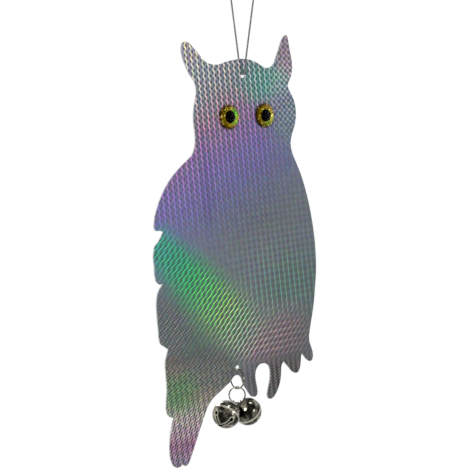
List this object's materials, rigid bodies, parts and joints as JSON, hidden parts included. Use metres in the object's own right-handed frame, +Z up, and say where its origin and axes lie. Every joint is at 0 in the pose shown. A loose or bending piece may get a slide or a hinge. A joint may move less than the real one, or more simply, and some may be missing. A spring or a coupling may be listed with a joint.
{
  "type": "reflective owl bird scarer",
  "caption": "Flat owl cut from prismatic reflective sheet, hung on a cord loop, with domed eyes and jingle bells on wire rings.",
  "frame": {"origin": "inside top of the cord's loop, where a branch or rail carries it", "axes": "+Z up, the owl faces -Y, +X to its right as seen from the front"},
  "size_m": [0.1919, 0.0416, 0.442],
  "materials": {
    "plastic_sheet": "white polypropylene sheet, seen only at its cut edge",
    "prismatic_film": "metallised holographic film with a fine prismatic lattice",
    "nylon_cord": "twisted pale nylon",
    "ring_wire": "dark nickel plated steel wire",
    "clear_dome": "clear polished resin with a warm tint",
    "glitter_card": "gold green glitter",
    "pupil_card": "black card",
    "foam_tape": "white double-sided foam tape",
    "bell_nickel": "black nickel plated steel, polished",
    "steel_ball": "plain steel shot"
  },
  "bodies": {
    "hanger": {"cord_front": "nylon_cord", "cord_back": "nylon_cord", "loop_knot": "nylon_cord"},
    "bight": {"cord_bight": "nylon_cord"},
    "owl": {"core_sheet": "plastic_sheet", "front_film": "prismatic_film", "back_film": "prismatic_film", "eye_dome_left": "clear_dome", "eye_iris_left": "glitter_card", "eye_pupil_left": "pupil_card", "eye_pad_left": "foam_tape", "eye_dome_right": "clear_dome", "eye_iris_right": "glitter_card", "eye_pupil_right": "pupil_card", "eye_pad_right": "foam_tape"},
    "upper_ring": {"upper_ring": "ring_wire"},
    "lower_ring": {"lower_ring": "ring_wire"},
    "bell_left": {"bell_left_upper_shell": "bell_nickel", "bell_left_lower_shell": "bell_nickel", "bell_left_loop": "ring_wire"},
    "bell_right": {"bell_right_upper_shell": "bell_nickel", "bell_right_lower_shell": "bell_nickel", "bell_right_loop": "ring_wire"},
    "pellet_left": {"bell_left_pellet": "steel_ball"},
    "pellet_right": {"bell_right_pellet": "steel_ball"}
  },
  "joints": [
    {"name": "owl_twirl", "type": "hinge", "parent": "hanger", "child": "bight", "pos_m": [0, 0, -0.0808], "axis": [0, 0, 1], "range_deg": [-180, 180]},
    {"name": "owl_swing", "type": "hinge", "parent": "bight", "child": "owl", "pos_m": [0, 0, -0.0988], "axis": [0, 1, 0], "range_deg": [-40, 40]},
    {"name": "upper_ring_swing", "type": "hinge", "parent": "owl", "child": "upper_ring", "pos_m": [-0.00608, 0, -0.36052], "axis": [1, 0, 0], "range_deg": [-30, 30]},
    {"name": "lower_ring_swing", "type": "hinge", "parent": "upper_ring", "child": "lower_ring", "pos_m": [-0.00608, 0, -0.37812], "axis": [0, 1, 0], "range_deg": [-4, 12]},
    {"name": "bell_left_swing", "type": "hinge", "parent": "lower_ring", "child": "bell_left", "pos_m": [-0.0089, 0.00237, -0.3899], "axis": [-0.6563, 0.5507, 0.5157], "range_deg": [0, 25]},
    {"name": "bell_right_swing", "type": "hinge", "parent": "lower_ring", "child": "bell_right", "pos_m": [-0.00326, -0.00237, -0.3899], "axis": [0.6563, -0.5507, 0.5157], "range_deg": [0, 10]},
    {"name": "pellet_left_roll", "type": "hinge", "parent": "bell_left", "child": "pellet_left", "pos_m": [-0.01873, 0, -0.39987], "axis": [0, 1, 0], "range_deg": [-70, 70]},
    {"name": "pellet_right_roll", "type": "hinge", "parent": "bell_right", "child": "pellet_right", "pos_m": [0.00657, 0, -0.39987], "axis": [0, 1, 0], "range_deg": [-70, 70]}
  ]
}
